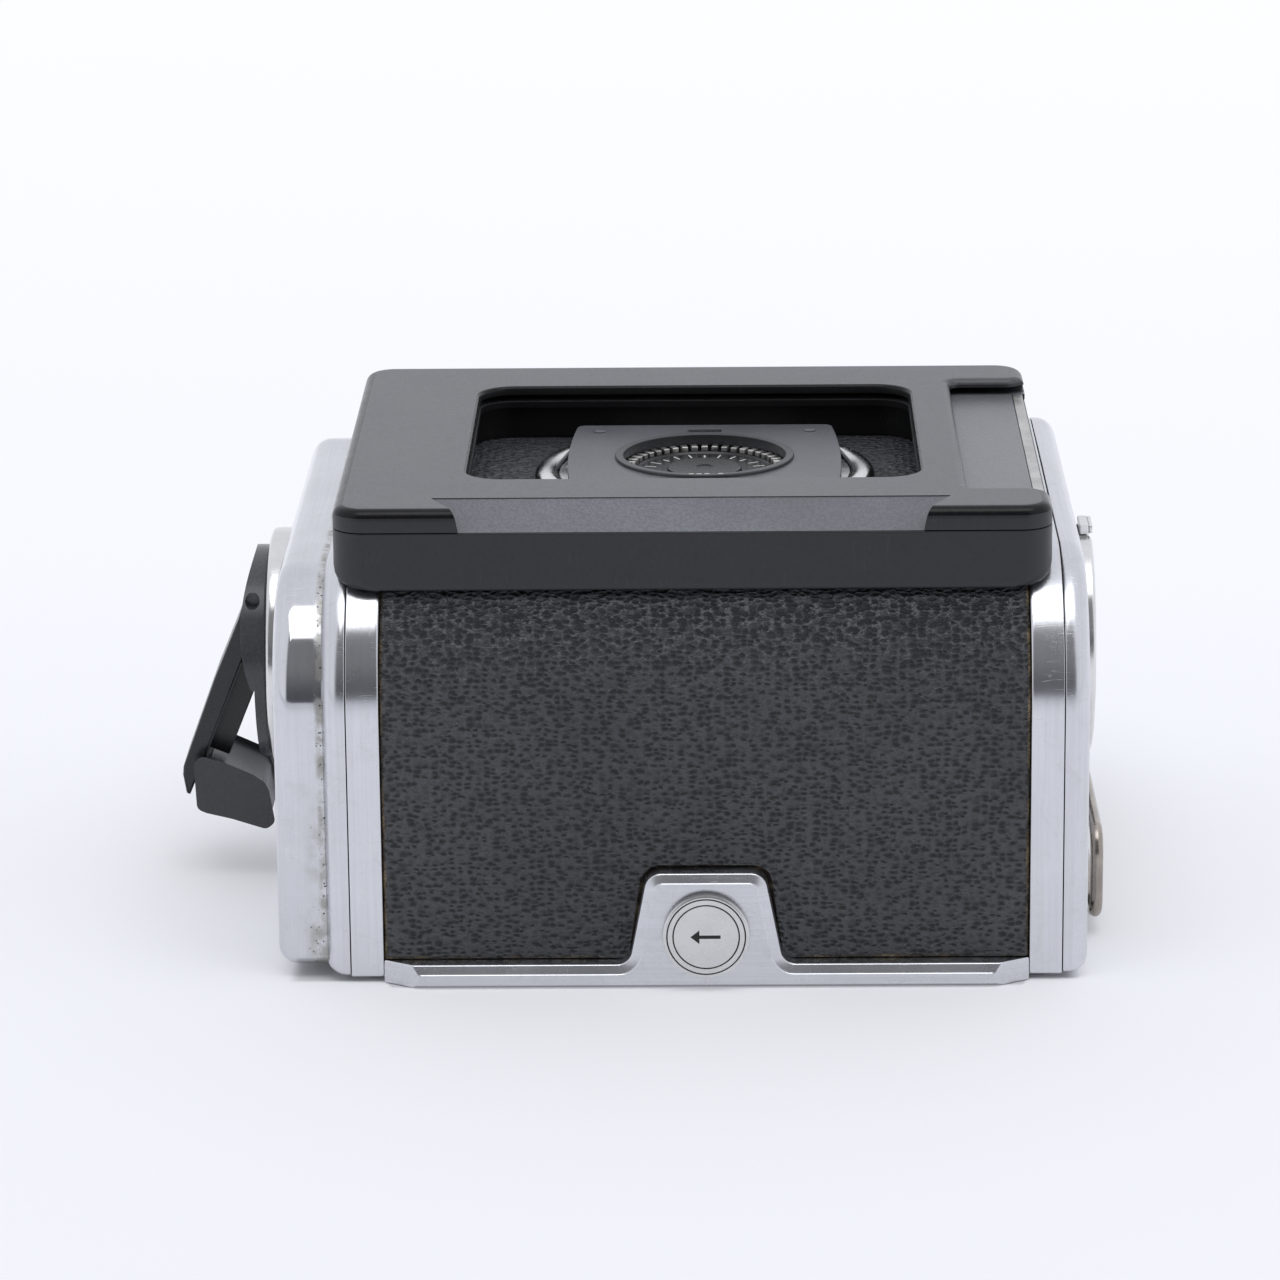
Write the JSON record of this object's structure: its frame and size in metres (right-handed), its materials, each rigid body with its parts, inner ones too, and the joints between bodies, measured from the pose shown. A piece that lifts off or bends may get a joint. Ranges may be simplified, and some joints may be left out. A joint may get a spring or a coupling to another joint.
{
  "type": "roll film magazine",
  "caption": "Detachable roll-film magazine with folding winding crank, pull-out film insert, dark slide, and a slide holder on its back.",
  "frame": {"origin": "centre of the film gate, in the plane of the front face that meets the camera", "axes": "+Z from the front face to the back of the magazine, +X across towards the dark slide's handle, -Y towards the end with the catch"},
  "size_m": [0.1072, 0.0916, 0.053],
  "materials": {
    "satin_chrome": "satin, fine brushed lines",
    "satin_alloy": "satin plated, fine brushed lines",
    "plate_metal": "satin plated alloy",
    "leather_black": "pebbled leatherette",
    "holder_black": "satin moulded, fine texture",
    "crank_black": "satin moulded",
    "black_metal": "matt black",
    "steel": "brushed",
    "handle_steel": "polished, worn",
    "brass": "machined",
    "window": "clear",
    "velvet": "black pile",
    "dial_black": "fine grained",
    "flag_red": "painted",
    "spool_black": "moulded"
  },
  "bodies": {
    "magazine": {"casing": "satin_alloy", "leather_cover": "leather_black", "front_plate": "plate_metal", "front_screws": "steel", "drive_side_plate": "satin_alloy", "gear_housing": "satin_alloy", "housing_screws": "steel", "crank_escutcheon": "satin_chrome", "crank_bush": "brass", "counter_window": "window", "signal_window": "window", "light_trap": "velvet", "holder_base": "holder_black", "holder_cover": "holder_black", "holder_spring": "steel", "tab_frame": "satin_chrome", "tab_plate": "dial_black", "tab_rivets": "steel", "catch_spring": "steel"},
    "catch": {"catch_button": "satin_chrome", "catch_bar": "steel"},
    "film_insert": {"insert_end_plate": "satin_alloy", "insert_drive_cheek": "black_metal", "insert_key_cheek": "black_metal", "insert_bridge": "black_metal", "insert_web": "black_metal", "insert_spacers": "steel", "supply_pivots": "steel", "takeup_pivot": "steel", "pressure_springs": "steel"},
    "lock": {"lock_disc": "satin_chrome", "lock_cam": "steel"},
    "key": {"key_bow": "satin_chrome"},
    "near_bolt": {"lock_bolt_near": "steel"},
    "far_bolt": {"lock_bolt_far": "steel"},
    "dark_slide": {"slide_blade": "steel", "slide_handle": "handle_steel"},
    "pressure_plate": {"pressure_plate": "black_metal"},
    "near_roller": {"roller_near": "steel"},
    "far_roller": {"roller_far": "steel"},
    "takeup_spool": {"takeup_spool": "spool_black"},
    "crank": {"crank_hub": "crank_black", "crank_gear": "brass", "crank_pin": "steel"},
    "crank_arm": {"crank_arm": "crank_black", "crank_grip": "crank_black"},
    "takeup_idler": {"takeup_idler": "brass"},
    "takeup_gear": {"takeup_gear": "brass"},
    "feed_idler_a": {"feed_idler_a": "brass"},
    "feed_idler_b": {"feed_idler_b": "brass"},
    "drive_gear": {"drive_gear": "brass"},
    "counter": {"counter_dial": "dial_black"},
    "signal": {"signal_flag": "flag_red"},
    "speed_dial": {"speed_dial": "dial_black"}
  },
  "joints": [
    {"name": "film_insert_pull", "type": "slide", "parent": "magazine", "child": "film_insert", "axis": [1, 0, 0], "range_m": [0, 0.085]},
    {"name": "dark_slide_pull", "type": "slide", "parent": "film_insert", "child": "dark_slide", "axis": [1, 0, 0], "range_m": [0, 0.085]},
    {"name": "lock_turn", "type": "hinge", "parent": "film_insert", "child": "lock", "pos_m": [0.0426, 0, 0.027], "axis": [1, 0, 0], "range_deg": [0, 90]},
    {"name": "key_lift", "type": "hinge", "parent": "lock", "child": "key", "pos_m": [0.0443, 0, 0.027], "axis": [0, 1, 0], "range_deg": [0, 90]},
    {"name": "near_bolt_travel", "type": "slide", "parent": "film_insert", "child": "near_bolt", "axis": [0, 1, 0], "range_m": [0, 0.0016]},
    {"name": "far_bolt_travel", "type": "slide", "parent": "film_insert", "child": "far_bolt", "axis": [0, -1, 0], "range_m": [0, 0.0016]},
    {"name": "pressure_plate_travel", "type": "slide", "parent": "film_insert", "child": "pressure_plate", "axis": [0, 0, 1], "range_m": [0, 0.001], "stiffness_N_per_m": 900, "springref_m": -0.0006, "deforming": ["pressure_springs"]},
    {"name": "takeup_spool_turn", "type": "hinge", "parent": "film_insert", "child": "takeup_spool", "pos_m": [0, -0.028, 0.0305], "axis": [1, 0, 0], "continuous": true},
    {"name": "near_roller_turn", "type": "hinge", "parent": "film_insert", "child": "near_roller", "pos_m": [0, -0.033, 0.0085], "axis": [1, 0, 0], "continuous": true},
    {"name": "far_roller_turn", "type": "hinge", "parent": "film_insert", "child": "far_roller", "pos_m": [0, 0.033, 0.0085], "axis": [1, 0, 0], "continuous": true},
    {"name": "crank_turn", "type": "hinge", "parent": "magazine", "child": "crank", "pos_m": [-0.045, 0, 0.0262], "axis": [-1, 0, 0], "continuous": true},
    {"name": "crank_fold", "type": "hinge", "parent": "crank", "child": "crank_arm", "pos_m": [-0.0526, 0, 0.03466], "axis": [0, 1, 0], "range_deg": [0, 100]},
    {"name": "takeup_idler_turn", "type": "hinge", "parent": "magazine", "child": "takeup_idler", "pos_m": [-0.04, -0.014, 0.02835], "axis": [-1, 0, 0], "continuous": true},
    {"name": "takeup_gear_turn", "type": "hinge", "parent": "magazine", "child": "takeup_gear", "pos_m": [-0.04, -0.028, 0.0305], "axis": [-1, 0, 0], "continuous": true},
    {"name": "feed_idler_a_turn", "type": "hinge", "parent": "magazine", "child": "feed_idler_a", "pos_m": [-0.04, 0.01236, 0.01863], "axis": [-1, 0, 0], "continuous": true},
    {"name": "feed_idler_b_turn", "type": "hinge", "parent": "magazine", "child": "feed_idler_b", "pos_m": [-0.04, 0.02336, 0.0119], "axis": [-1, 0, 0], "continuous": true},
    {"name": "drive_gear_turn", "type": "hinge", "parent": "magazine", "child": "drive_gear", "pos_m": [-0.04, 0.033, 0.006], "axis": [-1, 0, 0], "continuous": true},
    {"name": "counter_turn", "type": "hinge", "parent": "magazine", "child": "counter", "pos_m": [-0.044, -0.025, 0.0262], "axis": [-1, 0, 0], "continuous": true},
    {"name": "signal_turn", "type": "hinge", "parent": "magazine", "child": "signal", "pos_m": [-0.044, -0.024, 0.0105], "axis": [-1, 0, 0], "range_deg": [-20, 20]},
    {"name": "catch_slide", "type": "slide", "parent": "magazine", "child": "catch", "axis": [-1, 0, 0], "range_m": [0, 0.0024], "stiffness_N_per_m": 400, "springref_m": -0.002, "deforming": ["catch_spring"]},
    {"name": "speed_dial_turn", "type": "hinge", "parent": "magazine", "child": "speed_dial", "pos_m": [0, 0.0015, 0.047], "axis": [0, 0, 1], "continuous": true}
  ],
  "couplings": [
    {"joint": "takeup_idler_turn", "follows": "crank_turn", "ratio": -1.3333},
    {"joint": "takeup_gear_turn", "follows": "crank_turn", "ratio": 1},
    {"joint": "feed_idler_a_turn", "follows": "crank_turn", "ratio": -1.25},
    {"joint": "feed_idler_b_turn", "follows": "crank_turn", "ratio": 1.25},
    {"joint": "drive_gear_turn", "follows": "crank_turn", "ratio": -1.6667},
    {"joint": "counter_turn", "follows": "crank_turn", "ratio": 0.05},
    {"joint": "takeup_spool_turn", "follows": "crank_turn", "ratio": -1},
    {"joint": "near_bolt_travel", "follows": "lock_turn", "m_per_rad": 0.00095},
    {"joint": "far_bolt_travel", "follows": "lock_turn", "m_per_rad": 0.00095}
  ]
}
